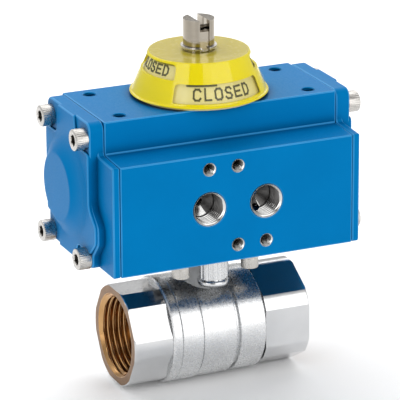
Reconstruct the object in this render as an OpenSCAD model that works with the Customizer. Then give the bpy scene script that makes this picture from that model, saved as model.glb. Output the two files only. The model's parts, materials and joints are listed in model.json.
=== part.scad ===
// Quarter-turn brass ball valve driven by a double-acting rack-and-pinion pneumatic actuator.
// Millimetres. Origin: centre of the inlet port's end face. +X runs along the flow axis,
// +Z up the stem, -Y is the side with the air ports. Drawn with the valve closed.

/* [Ball valve] */
// Inlet face to stem axis
inlet_run = 37; // [36:0.5:42]
// Stem axis to outlet face
outlet_run = 39; // [38:0.5:44]
// Bore through the ball
flow_d = 25; // [20:0.5:25]
// Ball diameter
ball_d = 36.2; // [36:0.1:36.6]
// Drill diameter of the G 1 pipe thread
pipe_tap_d = 30.291; // [30.2:0.001:30.8]
// Depth of the pipe thread
pipe_tap_depth = 17; // [14:0.5:18]
// Width across flats of the inlet hexagon
inlet_hex = 38.6; // [37:0.2:40]
// Width across flats of the outlet hexagon
outlet_hex = 39.4; // [38:0.2:41]
// Flow axis to the actuator mounting face
mount_height = 38; // [37:0.5:42]

/* [Actuator body] */
// Length between the end caps
body_len = 98; // [96:1:110]
// Height of the body
body_h = 58; // [57:0.5:60]
// Width of the top face
top_w = 42.8; // [41:0.2:46]
// Stem axis to the air port face
port_face = 36.5; // [36:0.5:40]
// Stem axis to the back face
back_face = 26; // [25.5:0.5:30]
// Cylinder bore
bore_d = 45; // [44:0.5:46]
// Bottom face to the air port axis
port_rise = 22.5; // [22:0.5:24]
// Air port axis to the cylinder axis
bore_rise = 5; // [4:0.5:6]
// Bottom face to the ledge at the pad
ledge_rise = 45; // [44:0.5:46]
// Fall of the ledge towards the port face
ledge_fall = 0.8; // [0:0.1:1]

/* [Gearing] */
// Tooth backlash at the pitch line
backlash = 0.3; // [0.2:0.05:0.4]
// Pinion angle drawn, 0 closed and 90 open
turn = 0; // [0:5:90]

/* [Shaft and indicator] */
// Height of the shaft above the body
shaft_rise = 30; // [28:1:32]
// Shaft diameter
shaft_d = 12.4; // [12:0.1:12.6]
// Width of the driving slot and of the two flutes below it
slot_w = 4; // [3.8:0.1:4.2]
// Depth of the driving slot
slot_depth = 4.5; // [4:0.5:5]
// Base diameter of the indicator cone
cone_base_d = 55.2; // [54:0.2:56]
// Top diameter of the indicator cone
cone_top_d = 41; // [40:0.2:42]

/* [Hidden] */
$fn = 96;
e = 0.02;

blue = [0.0, 0.45, 0.75];
chrome = [0.8, 0.81, 0.82];
steel = [0.78, 0.76, 0.73];
yellow = [0.93, 0.86, 0.02];
cream = [0.93, 0.91, 0.8];
clear = [0.95, 0.95, 0.9, 0.35];
brass = [0.75, 0.58, 0.38];
rubber = [0.05, 0.05, 0.05];
white = [0.93, 0.93, 0.9];
alloy = [0.72, 0.73, 0.75];

// radii the hexagon corners are turned down to
inlet_corner_r = 20.4;
outlet_corner_r = 21.2;

stem_x = inlet_run;
body_z = mount_height;
top_z = body_z + body_h;
port_z = body_z + port_rise;
bore_z = port_z + bore_rise;
ledge_z = body_z + ledge_rise;
half_len = body_len / 2;
bore_r = bore_d / 2;

// Air ports and threaded holes of the actuator
port_tap_r = 5.725;
port_depth = 10;
port_pitch = 24;
m5_tap_r = 2.1;
pad_hole_depth = 9;
pad_hole_x = 12;
pad_hole_z = 16;
top_hole_x = 40;
top_hole_y = 15;
top_hole_depth = 8;
channel_r = 2;
channel_y = -29;
channel_z = port_z - 8.6;

// End caps: outward depths from the joint with the body
flange_t = 3.1;
corner_t = 6.2;
face_t = 7.2;
cone_t = 11.5;
cap_holes = [[17, port_z + 28.7], [-17, port_z + 28.7], [18.2, port_z - 19], [-18.2, port_z - 19]];
cap_screw_r = 2.5;
cap_screw_grip = 6.2;
cap_head_r = 4.25;
cap_head_h = 5;
seal_r = 24.4;
seal_t = 1.8;

// Running and static clearances
run = 0.05;
gap = 0.3;

// Racks and pinion: zero of every position is the closed valve
teeth = 12;
gear_module = 1.5;
pitch_r = gear_module * teeth / 2;
pressure = 25;
addendum = 0.8 * gear_module;
dedendum = gear_module;
tooth_h = 13;
rack_back = 16;
stroke = pitch_r * PI / 2;
piston_in = 21;
piston_t = 12;
travel = pitch_r * turn * PI / 180;
journal_top_r = 8.5;
journal_bottom_r = 10.6;
flute_y = 5.2;
flute_low = 15.5;

// Valve levels above the flow axis
ball_r = ball_d / 2;
flow_r = flow_d / 2;
neck_r = 11.3;
boss_r = 5.4;
boss_y = 12.6;
flange_low = mount_height - 6.5;
boss_foot_z = flange_low - 11.3;
boss_rib_z = flange_low - 8.5;
flange_w = 37;
stem_r = 6;
stem_square = 9;
m4_r = 2;
mount_circle_r = 21;

module along_x(start, length) {
  translate([start, 0, 0]) rotate([90, 0, 90]) linear_extrude(length) children();
}

module round_rect(y0, y1, z0, z1, r) {
  translate([y0 + r, z0]) square([y1 - y0 - 2 * r, z1 - z0]);
  translate([y0, z0 + r]) square([y1 - y0, z1 - z0 - 2 * r]);
  for (y = [y0 + r, y1 - r], z = [z0 + r, z1 - r]) translate([y, z]) circle(r);
}

// Torus lying square to +Z, centred on the origin
module seal_ring(mid_r, half) {
  rotate_extrude() translate([mid_r, 0]) circle(half, $fn = 48);
}

module tube(r_out, r_in, z0, z1) {
  difference() {
    translate([0, 0, z0]) cylinder(r = r_out, h = z1 - z0);
    translate([0, 0, z0 - 1]) cylinder(r = r_in, h = z1 - z0 + 2);
  }
}

// ---- Actuator body ----

module body_outline() {
  polygon([
    [-port_face, body_z], [back_face, body_z], [back_face, ledge_z - ledge_fall / 3],
    [top_w / 2, ledge_z], [top_w / 2, top_z], [-top_w / 2, top_z], [-top_w / 2, ledge_z],
    [-port_face, ledge_z - ledge_fall]
  ]);
}

module air_ports() {
  for (side = [-1, 1]) translate([side * port_pitch / 2, 0, port_z]) {
    translate([0, -port_face - 1, 0]) rotate([-90, 0, 0]) cylinder(r = port_tap_r, h = port_depth + 1);
    translate([0, -port_face + port_depth, 0]) rotate([-90, 0, 0])
      cylinder(r1 = port_tap_r, r2 = 2, h = 1.8);
  }
  // left port feeds the chamber between the pistons
  translate([-port_pitch / 2, -port_face + port_depth, port_z]) rotate([-90, 0, 0])
    cylinder(r = 1.8, h = port_face - port_depth - 15);
  // right port feeds the end chambers through a long channel
  translate([-half_len - 1, channel_y, channel_z]) rotate([0, 90, 0])
    cylinder(r = channel_r, h = body_len + 2);
  translate([port_pitch / 2 - 1.3, channel_y, channel_z]) cylinder(r = 1.6, h = 5.4);
}

module body_threads() {
  for (hole = [[-pad_hole_x, pad_hole_z], [0, pad_hole_z], [0, -pad_hole_z], [pad_hole_x, -pad_hole_z]])
    translate([hole[0], -port_face - 1, port_z + hole[1]]) rotate([-90, 0, 0])
      cylinder(r = m5_tap_r, h = pad_hole_depth + 1);
  for (x = [-top_hole_x, top_hole_x], y = [-top_hole_y, top_hole_y])
    translate([x, y, top_z - top_hole_depth]) cylinder(r = m5_tap_r, h = top_hole_depth + 1);
  for (x = [-half_len - 1, half_len - cap_screw_grip - 0.5], hole = cap_holes)
    translate([x, hole[0], hole[1]]) rotate([0, 90, 0])
      cylinder(r = cap_screw_r + run, h = cap_screw_grip + 1.5);
  for (a = [45:90:315]) rotate(a) translate([mount_circle_r, 0, body_z - 1]) cylinder(r = m4_r + run, h = 7);
}

module actuator_body() {
  color(blue) translate([stem_x, 0, 0]) difference() {
    along_x(-half_len, body_len) body_outline();
    translate([-half_len - 1, 0, bore_z]) rotate([0, 90, 0]) cylinder(r = bore_r, h = body_len + 2);
    air_ports();
    body_threads();
    translate([0, 0, body_z - 1]) cylinder(r = 12.2, h = bore_z - body_z);
    translate([0, 0, bore_z]) cylinder(r = 10, h = top_z - bore_z + 1);
  }
}

// ---- End caps, drawn outward along +X from the joint ----

module raised_face() {
  round_rect(-8.5, 8.5, body_z, top_z, 1);
  round_rect(-top_w / 2, top_w / 2, port_z - 11, port_z + 23.8, 1);
  round_rect(-28.6, 0, port_z - 12, port_z - 3.4, 4);
}

module end_cap() {
  difference() {
    union() {
      along_x(0, flange_t) body_outline();
      along_x(0, corner_t) round_rect(-top_w / 2, top_w / 2, body_z, top_z, 3.5);
      along_x(0, face_t) raised_face();
      translate([face_t - e, 0, bore_z]) rotate([0, 90, 0])
        cylinder(r1 = 20.4, r2 = 13.5, h = cone_t - face_t + e);
    }
    // hollow end chamber
    translate([-1, 0, bore_z]) rotate([0, 90, 0]) cylinder(r = 18, h = 5.2);
    translate([4.1, 0, bore_z]) rotate([0, 90, 0]) cylinder(r1 = 18, r2 = 12, h = 4);
    // air way from the body channel
    translate([-1, channel_y, channel_z]) rotate([0, 90, 0]) cylinder(r = channel_r, h = 4.4);
    translate([-1, channel_y, channel_z - channel_r]) cube([4.4, 16, 2 * channel_r]);
    // groove of the face seal, with room for the ring squeezed flat
    translate([-1, 0, bore_z]) rotate([0, 90, 0]) difference() {
      cylinder(r = seal_r + seal_t / 2, h = 1 + seal_t - 0.2);
      translate([0, 0, -1]) cylinder(r = seal_r - seal_t / 2, h = 4);
    }
    for (hole = cap_holes) translate([-1, hole[0], hole[1]]) rotate([0, 90, 0])
      cylinder(r = cap_screw_r + 0.25, h = face_t + 2);
  }
}

module cap_screws() {
  for (hole = cap_holes)
    translate([corner_t, hole[0], hole[1]]) rotate([0, 90, 0]) difference() {
      union() {
        cylinder(r = cap_head_r, h = cap_head_h);
        translate([0, 0, -corner_t - cap_screw_grip])
          cylinder(r = cap_screw_r, h = corner_t + cap_screw_grip + e);
      }
      translate([0, 0, cap_head_h - 2.5]) cylinder(d = 4 / cos(30), h = 3, $fn = 6);
    }
}

module cap_seal() {
  translate([0, 0, bore_z]) rotate([0, 90, 0]) difference() {
    cylinder(r = seal_r + seal_t / 2 - run, h = seal_t - 0.2);
    translate([0, 0, -1]) cylinder(r = seal_r - seal_t / 2 + run, h = 4);
  }
}

module right_side() translate([stem_x + half_len, 0, 0]) children();
module left_side() translate([stem_x - half_len, 0, 0]) mirror([1, 0, 0]) children();
module left_end_cap() { color(blue) left_side() end_cap(); }
module right_end_cap() { color(blue) right_side() end_cap(); }
module left_cap_screws() { color(steel) left_side() cap_screws(); }
module right_cap_screws() { color(steel) right_side() cap_screws(); }
module left_cap_seal() { color(rubber) left_side() cap_seal(); }
module right_cap_seal() { color(rubber) right_side() cap_seal(); }

// ---- Pistons and racks: the right piston with its rack on the front side ----

function rack_tooth(x) = let(
  half = (pitch_r * PI / teeth - backlash) / 2,
  lean = tan(pressure)
) [
  [x - half - dedendum * lean, -pitch_r - dedendum], [x - half + addendum * lean, -pitch_r + addendum],
  [x + half - addendum * lean, -pitch_r + addendum], [x + half + dedendum * lean, -pitch_r - dedendum]
];

module rack_profile() {
  pitch = 2 * PI * pitch_r / teeth;
  translate([-19, -rack_back]) square([piston_in + 19 + e, rack_back - pitch_r - dedendum + e]);
  // a tooth gap faces the pinion tooth that stands on the stem's front line
  for (k = [-4:1]) polygon(rack_tooth((k + 0.5) * pitch));
}

// Piston along +X: head, ring groove, band groove and the arm that reaches past the pinion
module piston() {
  translate([piston_in, 0, bore_z]) rotate([0, 90, 0]) difference() {
    cylinder(r = bore_r - gap, h = piston_t);
    translate([0, 0, 7.5]) tube(bore_r + 1, bore_r - 2.9, 0, 3);
    translate([0, 0, 1.8]) tube(bore_r + 1, bore_r - 1.7, 0, 4);
    translate([0, 0, piston_t - 4]) cylinder(r = 12, h = 5);
  }
  translate([0, 0, bore_z - tooth_h / 2]) linear_extrude(tooth_h) rack_profile();
}

module piston_ring() {
  translate([piston_in + 9, 0, bore_z]) rotate([0, 90, 0]) tube(bore_r - run, bore_r - 2.85, -1.4, 1.4);
}

module guide_band() {
  translate([piston_in + 3.8, 0, bore_z]) rotate([0, 90, 0]) tube(bore_r - run, bore_r - 1.65, -1.95, 1.95);
}

// Sliding shoe between the back of the rack and the cylinder wall
module rack_pad() {
  intersection() {
    translate([-17, 0, bore_z]) rotate([0, 90, 0]) cylinder(r = bore_r - run, h = 24);
    translate([-17, -bore_r, bore_z - 5]) cube([24, bore_r - rack_back, 10]);
  }
}

module right_drive() translate([stem_x + travel, 0, 0]) children();
module left_drive() translate([stem_x - travel, 0, 0]) rotate(180) children();
module left_piston() { color(alloy) left_drive() piston(); }
module right_piston() { color(alloy) right_drive() piston(); }
module left_piston_ring() { color(rubber) left_drive() piston_ring(); }
module right_piston_ring() { color(rubber) right_drive() piston_ring(); }
module left_guide_band() { color(white) left_drive() guide_band(); }
module right_guide_band() { color(white) right_drive() guide_band(); }
module left_rack_pad() { color(white) left_drive() rack_pad(); }
module right_rack_pad() { color(white) right_drive() rack_pad(); }

// ---- Pinion ----

base_r = pitch_r * cos(pressure);
tip_r = pitch_r + addendum;
root_r = pitch_r - dedendum;
function roll(r) = sqrt(pow(r / base_r, 2) - 1) * 180 / PI;
function involute(r) = roll(r) - atan(roll(r) * PI / 180);
half_tooth = 90 / teeth - backlash / 2 / pitch_r * 180 / PI;
function flank(r, side) =
  let(a = side * (half_tooth + involute(pitch_r) - involute(r))) [r * cos(a), r * sin(a)];

module pinion_tooth() {
  radii = [base_r, (base_r + pitch_r) / 2, pitch_r, (pitch_r + tip_r) / 2, tip_r];
  foot = (root_r - 0.6) / base_r;
  polygon(concat(
    [flank(base_r, -1) * foot], [for (r = radii) flank(r, -1)],
    [for (i = [4:-1:0]) flank(radii[i], 1)], [flank(base_r, 1) * foot]
  ));
}

module shaft_end() {
  difference() {
    translate([0, 0, top_z - e]) cylinder(r = shaft_d / 2, h = shaft_rise + e);
    translate([-slot_w / 2, -10, top_z + shaft_rise - slot_depth]) cube([slot_w, 20, slot_depth + 1]);
    for (side = [-1, 1]) translate([-slot_w / 2, side * (flute_y + 5) - 5, top_z + flute_low])
      cube([slot_w, 10, shaft_rise]);
    // tapped centre hole and retaining ring groove
    translate([0, 0, top_z + shaft_rise - 9]) cylinder(r = 2.1, h = 10);
    translate([0, 0, top_z + 18.4]) tube(10, shaft_d / 2 - 0.5, 0, 1.2);
  }
}

module pinion() {
  color(steel) translate([stem_x, 0, 0]) rotate(turn) difference() {
    union() {
      translate([0, 0, body_z + 0.5]) cylinder(r = journal_bottom_r, h = 14);
      translate([0, 0, body_z + 14]) cylinder(r = root_r, h = 40);
      translate([0, 0, bore_z - tooth_h / 2 - 0.5]) linear_extrude(tooth_h + 1)
        for (k = [0:teeth - 1]) rotate(k * 360 / teeth) pinion_tooth();
      translate([0, 0, bore_z + 12]) cylinder(r = journal_top_r, h = top_z - bore_z - 12);
      shaft_end();
    }
    translate([-stem_square / 2 - run, -stem_square / 2 - run, body_z - 1])
      cube([stem_square + 2 * run, stem_square + 2 * run, 13]);
    translate([0, 0, body_z + 10.8]) tube(13, journal_bottom_r - 1.3, 0, 2.2);
    translate([0, 0, bore_z + 14]) tube(12, journal_top_r - 1.3, 0, 2.2);
  }
}

module pinion_top_ring() {
  color(rubber) translate([stem_x, 0, bore_z + 15.1]) tube(10 - run, journal_top_r - 1.25, -1, 1);
}

module pinion_bottom_ring() {
  color(rubber) translate([stem_x, 0, body_z + 11.9]) tube(12.2 - run, journal_bottom_r - 1.25, -1, 1);
}

module upper_bush() {
  color(white) translate([stem_x, 0, 0]) tube(10 - run, journal_top_r + run, top_z - 7.2, top_z - 0.2);
}

module lower_bush() {
  color(white) translate([stem_x, 0, 0]) tube(12.2 - run, journal_bottom_r + run, body_z + 0.4, body_z + 5);
}

module retaining_ring() {
  color(steel) translate([stem_x, 0, top_z + 18.5]) rotate(turn) difference() {
    tube(7.1, shaft_d / 2 - 0.45, 0, 1);
    translate([-1.6, -10, -1]) cube([3.2, 8, 3]);
  }
}

// ---- Position indicator: fixed legend, turning mask with windows, clear cover ----

cone_low = top_z + 1.1;
cone_high = top_z + 18.3;
cone_slope = (cone_base_d - cone_top_d) / 2 / (cone_high - cone_low);
function cone_r(z) = cone_base_d / 2 - (z - cone_low) * cone_slope;

// Hollow cone between two levels, inset from the outer cone surface
module cone_shell(inset, wall, z0, z1, roof) {
  difference() {
    translate([0, 0, z0]) cylinder(r1 = cone_r(z0) - inset, r2 = cone_r(z1) - inset, h = z1 - z0);
    translate([0, 0, z0 - 1])
      cylinder(
        r1 = cone_r(z0 - 1) - inset - wall, r2 = cone_r(z1 - roof) - inset - wall,
        h = z1 - z0 + 1 - roof
      );
  }
}

// Wedge with its sides at plus and minus the half angle from -Y
module wedge(half, z0, z1) {
  translate([0, 0, z0]) linear_extrude(z1 - z0)
    polygon([[0, 0], [-40 * sin(half), -40 * cos(half)], [0, -55], [40 * sin(half), -40 * cos(half)]]);
}

module indicator_legend() {
  color(cream) translate([stem_x, 0, 0]) difference() {
    union() {
      cone_shell(2.5, 1, top_z + 0.2, cone_high - 3, 1);
      tube(24.6, 20, top_z, top_z + 1);
    }
    translate([0, 0, top_z + 2]) cylinder(r = 9, h = 30);
  }
}

module indicator_mask() {
  color(yellow) translate([stem_x, 0, 0]) rotate(turn) difference() {
    union() {
      cone_shell(0.9, 1.1, cone_low + 0.9, cone_high - 1, 1);
      difference() {
        translate([0, 0, cone_low]) cylinder(r1 = cone_r(cone_low), r2 = cone_r(cone_low + 0.9), h = 0.9);
        translate([0, 0, cone_low - 1]) cylinder(r = cone_r(cone_low) - 2.1, h = 3);
      }
    }
    for (a = [0, 180]) rotate(a) wedge(45, cone_low + 1.4, cone_low + 8.5);
    for (a = [90, 270]) rotate(a) wedge(41, cone_low + 9.4, cone_low + 15.2);
    // round hole with two keys that engage the shaft flutes
    difference() {
      translate([0, 0, cone_low]) cylinder(r = shaft_d / 2 + run, h = 30);
      for (side = [-1, 1]) translate([0, side * (flute_y + 5 + run), cone_low + 15])
        cube([slot_w - 2 * run, 10, 40], center = true);
    }
  }
}

module indicator_cover() {
  color(clear) translate([stem_x, 0, 0]) rotate(turn) difference() {
    cone_shell(0, 0.85, cone_low + 0.95, cone_high, 0.9);
    translate([0, 0, cone_low]) cylinder(r = shaft_d / 2 + run, h = 30);
  }
}

// ---- Ball valve ----

// Hexagon along +X with its corners turned down to a round
module port_hex(x0, x1, flats, corner_r, spin) {
  intersection() {
    translate([x0, 0, 0]) rotate([0, 90, 0]) rotate(spin) cylinder(d = flats / cos(30), h = x1 - x0, $fn = 6);
    translate([x0, 0, 0]) rotate([0, 90, 0]) cylinder(r = corner_r, h = x1 - x0);
  }
}

module valve_body() {
  right_end = inlet_run + outlet_run;
  color(chrome) difference() {
    union() {
      translate([stem_x - 16.6, 0, 0]) rotate([0, 90, 0]) cylinder(r = 21.5, h = 9.2);
      translate([stem_x - 7.5, 0, 0]) rotate([0, 90, 0]) cylinder(r = 21.2, h = 15);
      translate([stem_x + 7.4, 0, 0]) rotate([0, 90, 0]) cylinder(r = 20.6, h = 1.4);
      translate([stem_x + 8.7, 0, 0]) rotate([0, 90, 0]) cylinder(r = 20.9, h = 11.3);
      port_hex(stem_x + 19.9, right_end, outlet_hex, outlet_corner_r, 0);
      translate([stem_x, 0, 0]) cylinder(r = neck_r, h = flange_low + 1);
      // half-round ribbed boss on the front of the neck, on a wider foot
      translate([stem_x, -boss_y, boss_foot_z]) cylinder(r = boss_r, h = flange_low + 1 - boss_foot_z);
      for (a = [-80:20:80]) translate([stem_x + boss_r * sin(a), -boss_y - boss_r * cos(a), boss_rib_z])
        cylinder(r = 0.45, h = flange_low + 0.5 - boss_rib_z);
      translate([stem_x, -boss_y, boss_foot_z]) cylinder(r = boss_r + 0.8, h = 2.5);
      translate([stem_x, 0, flange_low]) intersection() {
        translate([-flange_w / 2, -flange_w / 2, 0]) cube([flange_w, flange_w, mount_height - flange_low]);
        cylinder(r = 24.4, h = 20);
      }
    }
    // ball chamber, open towards the adapter
    translate([stem_x - 17.6, 0, 0]) rotate([0, 90, 0]) cylinder(r = ball_r + gap, h = 33.6);
    translate([stem_x, 0, 0]) rotate([0, 90, 0]) cylinder(r = flow_r, h = outlet_run + 1);
    translate([right_end - pipe_tap_depth, 0, 0]) rotate([0, 90, 0])
      cylinder(d = pipe_tap_d, h = pipe_tap_depth + 1);
    // stem bore, thrust seat and gland
    cylinder_at_stem(stem_r + run, 0, mount_height + 1);
    cylinder_at_stem(8.1, 0, 22);
    cylinder_at_stem(8.6, 27, mount_height + 1);
    cylinder_at_stem(10.6, 33, mount_height + 1);
    for (a = [45:90:315]) translate([stem_x, 0, 0]) rotate(a)
      translate([mount_circle_r, 0, flange_low - 1]) cylinder(r = m4_r + 0.25, h = 9);
  }
}

module cylinder_at_stem(r, z0, z1) {
  translate([stem_x, 0, z0]) cylinder(r = r, h = z1 - z0);
}

module valve_adapter() {
  color(chrome) difference() {
    union() {
      port_hex(0, stem_x - 20, inlet_hex, inlet_corner_r, 30);
      translate([stem_x - 20.2, 0, 0]) rotate([0, 90, 0]) cylinder(r = 21.4, h = 3.5);
      translate([stem_x - 16.8, 0, 0]) rotate([0, 90, 0]) cylinder(r = ball_r + gap - run, h = 2.2);
    }
    translate([-1, 0, 0]) rotate([0, 90, 0]) cylinder(r = flow_r, h = stem_x);
    translate([-1, 0, 0]) rotate([0, 90, 0]) cylinder(d = pipe_tap_d, h = pipe_tap_depth + 1);
    translate([stem_x - 16.8, 0, 0]) rotate([0, 90, 0]) tube(30, ball_r + gap - 1.6, 0, 1.6);
  }
}

module body_seal() {
  color(rubber) translate([stem_x - 16.7 + 0.8, 0, 0]) rotate([0, 90, 0])
    tube(ball_r + gap - run, ball_r + gap - 1.55, -0.7, 0.7);
}

// Seat ring between the ball and the face behind it, cupped to the ball
module seat(side) {
  translate([stem_x, 0, 0]) rotate([0, side * 90, 0]) difference() {
    tube(ball_r, flow_r, 8.5, side > 0 ? 15.95 : 14.55);
    sphere(r = ball_r + run, $fn = 128);
  }
}

module left_seat() { color(white) seat(-1); }
module right_seat() { color(white) seat(1); }

module ball() {
  color(chrome) translate([stem_x, 0, 0]) rotate(turn + 90) difference() {
    sphere(r = ball_r, $fn = 128);
    rotate([0, 90, 0]) translate([0, 0, -30]) cylinder(r = flow_r, h = 60);
    translate([-3, -30, 13.4]) cube([6, 60, 10]);
  }
}

module stem() {
  color(steel) translate([stem_x, 0, 0]) rotate(turn + 90) {
    intersection() {
      translate([-2.9, -10, 13.6]) cube([5.8, 20, 6]);
      translate([0, 0, 13]) cylinder(r = 7.8, h = 8);
    }
    difference() {
      union() {
        translate([0, 0, 18.7]) cylinder(r = 7.9, h = 2.2);
        translate([0, 0, 20.8]) cylinder(r = stem_r, h = mount_height - 20.6);
        intersection() {
          translate([-stem_square / 2, -stem_square / 2, mount_height])
            cube([stem_square, stem_square, 10.5]);
          cylinder(r = stem_r, h = 60);
        }
      }
      for (z = [22.6, 24.8]) translate([0, 0, z]) tube(9, stem_r - 1.1, 0, 1.6);
    }
  }
}

module thrust_washer() { color(white) translate([stem_x, 0, 0]) tube(8, stem_r + run, 20.95, 21.9); }

module stem_rings() {
  color(rubber) translate([stem_x, 0, 0]) for (z = [22.65, 24.85]) tube(stem_r, stem_r - 1.05, z, z + 1.5);
}

module packing_rings() {
  color(white) translate([stem_x, 0, 0])
    for (k = [0:2]) tube(8.5, stem_r + run, 27.05 + k * 1.95, 28.95 + k * 1.95);
}

module gland_nut() {
  color(brass) translate([stem_x, 0, 0]) difference() {
    union() {
      tube(8.5, stem_r + run, 32.95, 33.3);
      tube(10.5, stem_r + run, 33.05, mount_height - 0.4);
    }
    for (a = [0, 90]) rotate(a) translate([-1.5, -12, mount_height - 1.9]) cube([3, 24, 3]);
  }
}

module at_mounting_holes() {
  translate([stem_x, 0, 0]) for (a = [45:90:315]) rotate(a) translate([mount_circle_r, 0, 0]) children();
}

module spring_washers() {
  color(steel) at_mounting_holes() difference() {
    tube(3.5, m4_r + 0.1, flange_low - 1.5, flange_low);
    translate([-0.3, 0, flange_low - 3]) cube([0.6, 8, 6]);
  }
}

module mounting_screws() {
  color(steel) at_mounting_holes() difference() {
    union() {
      translate([0, 0, flange_low - 5.5]) cylinder(r = 3.5, h = 4);
      translate([0, 0, flange_low - 1.6]) cylinder(r = m4_r, h = 13);
    }
    translate([0, 0, flange_low - 6]) cylinder(d = 3 / cos(30), h = 2.5, $fn = 6);
  }
}

actuator_body();
left_end_cap();
right_end_cap();
left_cap_screws();
right_cap_screws();
left_cap_seal();
right_cap_seal();
left_piston();
right_piston();
left_piston_ring();
right_piston_ring();
left_guide_band();
right_guide_band();
left_rack_pad();
right_rack_pad();
pinion();
pinion_top_ring();
pinion_bottom_ring();
upper_bush();
lower_bush();
retaining_ring();
indicator_legend();
indicator_mask();
indicator_cover();
valve_body();
valve_adapter();
ball();
stem();
left_seat();
right_seat();
body_seal();
thrust_washer();
stem_rings();
packing_rings();
gland_nut();
mounting_screws();
spring_washers();
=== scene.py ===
"""Visual model of a pneumatic actuated ball valve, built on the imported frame."""
import json
import math

import bmesh
import bpy
from mathutils import Matrix, Vector


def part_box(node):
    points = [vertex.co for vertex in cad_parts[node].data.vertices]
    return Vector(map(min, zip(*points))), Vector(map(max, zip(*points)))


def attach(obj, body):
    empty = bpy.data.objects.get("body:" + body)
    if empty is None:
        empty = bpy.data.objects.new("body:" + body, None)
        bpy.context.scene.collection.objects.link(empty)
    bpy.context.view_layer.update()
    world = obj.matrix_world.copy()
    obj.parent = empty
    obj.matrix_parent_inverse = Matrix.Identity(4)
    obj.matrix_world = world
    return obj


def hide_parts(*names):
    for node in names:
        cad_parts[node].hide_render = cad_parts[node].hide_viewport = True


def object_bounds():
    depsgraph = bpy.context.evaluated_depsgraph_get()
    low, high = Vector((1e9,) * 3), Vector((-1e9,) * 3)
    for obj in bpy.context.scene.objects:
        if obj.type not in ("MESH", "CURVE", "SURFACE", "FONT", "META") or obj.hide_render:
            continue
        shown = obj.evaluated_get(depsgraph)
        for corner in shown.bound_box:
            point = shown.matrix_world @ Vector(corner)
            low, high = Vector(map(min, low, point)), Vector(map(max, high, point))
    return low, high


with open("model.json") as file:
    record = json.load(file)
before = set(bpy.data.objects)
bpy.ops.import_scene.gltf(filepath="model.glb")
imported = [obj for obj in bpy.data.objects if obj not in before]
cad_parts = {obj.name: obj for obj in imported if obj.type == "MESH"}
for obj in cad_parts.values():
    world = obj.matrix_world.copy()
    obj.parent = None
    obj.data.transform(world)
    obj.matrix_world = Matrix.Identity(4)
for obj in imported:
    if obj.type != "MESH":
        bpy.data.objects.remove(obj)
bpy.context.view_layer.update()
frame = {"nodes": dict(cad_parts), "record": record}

MM = 0.001
scene = bpy.context.scene
mounts = {m["name"]: m for m in frame["record"]["mounts"]}


def node_box(node):
    """Lowest and highest corners of a CAD node, in millimetres."""
    low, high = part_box(node)
    return low / MM, high / MM


def mount_place(name):
    return Vector(mounts[name]["pos_m"]) / MM


# ---------------------------------------------------------------- placing

body_low, body_high = node_box("actuator_body")
pinion_low, pinion_high = node_box("pinion")
stem_x = (pinion_low.x + pinion_high.x) / 2
port_z = mount_place("left_air_port").z
top_z = body_high.z
inlet_x = mount_place("inlet_port").x
outlet_x = mount_place("outlet_port").x
floor_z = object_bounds()[0][2] / MM


def turn_to(axis, at):
    """Matrix taking local +Z to the axis, with its origin at a point."""
    spins = {
        "+X": Matrix(((0, 0, 1), (1, 0, 0), (0, 1, 0))),
        "-X": Matrix(((0, 0, -1), (-1, 0, 0), (0, 1, 0))),
        "+Y": Matrix(((1, 0, 0), (0, 0, 1), (0, -1, 0))),
        "-Z": Matrix(((1, 0, 0), (0, -1, 0), (0, 0, -1))),
        "+Z": Matrix.Identity(3),
    }
    return Matrix.Translation(Vector(at)) @ spins[axis].to_4x4()


# ---------------------------------------------------------------- mesh tools


def ring_of(bm, radius, height, segments, matrix):
    """Vertices of a circle about local Z, or a single vertex where the radius is zero."""
    if radius < 1e-6:
        return [bm.verts.new(matrix @ Vector((0, 0, height)))]
    angles = [2 * math.pi * k / segments for k in range(segments)]
    points = [Vector((radius * math.cos(a), radius * math.sin(a), height)) for a in angles]
    return [bm.verts.new(matrix @ point) for point in points]


def skin(bm, rings, closed=False):
    """Faces between each ring and the next."""
    pairs = list(zip(rings, rings[1:]))
    if closed:
        pairs.append((rings[-1], rings[0]))
    for low, high in pairs:
        count = max(len(low), len(high))
        for k in range(count):
            after = k + 1
            corners = [low[k % len(low)], low[after % len(low)], high[after % len(high)], high[k % len(high)]]
            unique = [v for i, v in enumerate(corners) if v not in corners[:i]]
            if len(unique) > 2:
                bm.faces.new(unique)


def lathe(profile, matrix, segments=96, closed=False):
    """Solid of revolution about local Z from (radius, height) points."""
    bm = bmesh.new()
    rings = [ring_of(bm, r, h, segments, matrix) for r, h in profile]
    skin(bm, rings, closed)
    return solid(bm)


def prism(outline, start, end, matrix):
    """Straight solid with a closed outline in the local XY plane."""
    bm = bmesh.new()
    low = [bm.verts.new(matrix @ Vector((x, y, start))) for x, y in outline]
    high = [bm.verts.new(matrix @ Vector((x, y, end))) for x, y in outline]
    bm.faces.new(low[::-1])
    bm.faces.new(high)
    skin(bm, [low, high])
    return solid(bm)


def solid(bm):
    """A working object in millimetres."""
    bmesh.ops.recalc_face_normals(bm, faces=bm.faces)
    mesh = bpy.data.meshes.new("work")
    bm.to_mesh(mesh)
    bm.free()
    obj = bpy.data.objects.new("work", mesh)
    scene.collection.objects.link(obj)
    return obj


def bake_modifiers(obj):
    graph = bpy.context.evaluated_depsgraph_get()
    mesh = bpy.data.meshes.new_from_object(obj.evaluated_get(graph))
    obj.modifiers.clear()
    obj.data = mesh
    return obj


def soften(obj, width, segments=3, angle=25):
    """Rounds the edges that turn more than the angle."""
    bevel = obj.modifiers.new("bevel", "BEVEL")
    bevel.width = width
    bevel.segments = segments
    bevel.limit_method = "ANGLE"
    bevel.angle_limit = math.radians(angle)
    bevel.use_clamp_overlap = True
    return bake_modifiers(obj)


def combine(obj, operation, tools):
    for tool in tools:
        step = obj.modifiers.new("combine", "BOOLEAN")
        step.operation = operation
        step.solver = "EXACT"
        step.object = tool
        bake_modifiers(obj)
        bpy.data.objects.remove(tool)
    return obj


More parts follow.
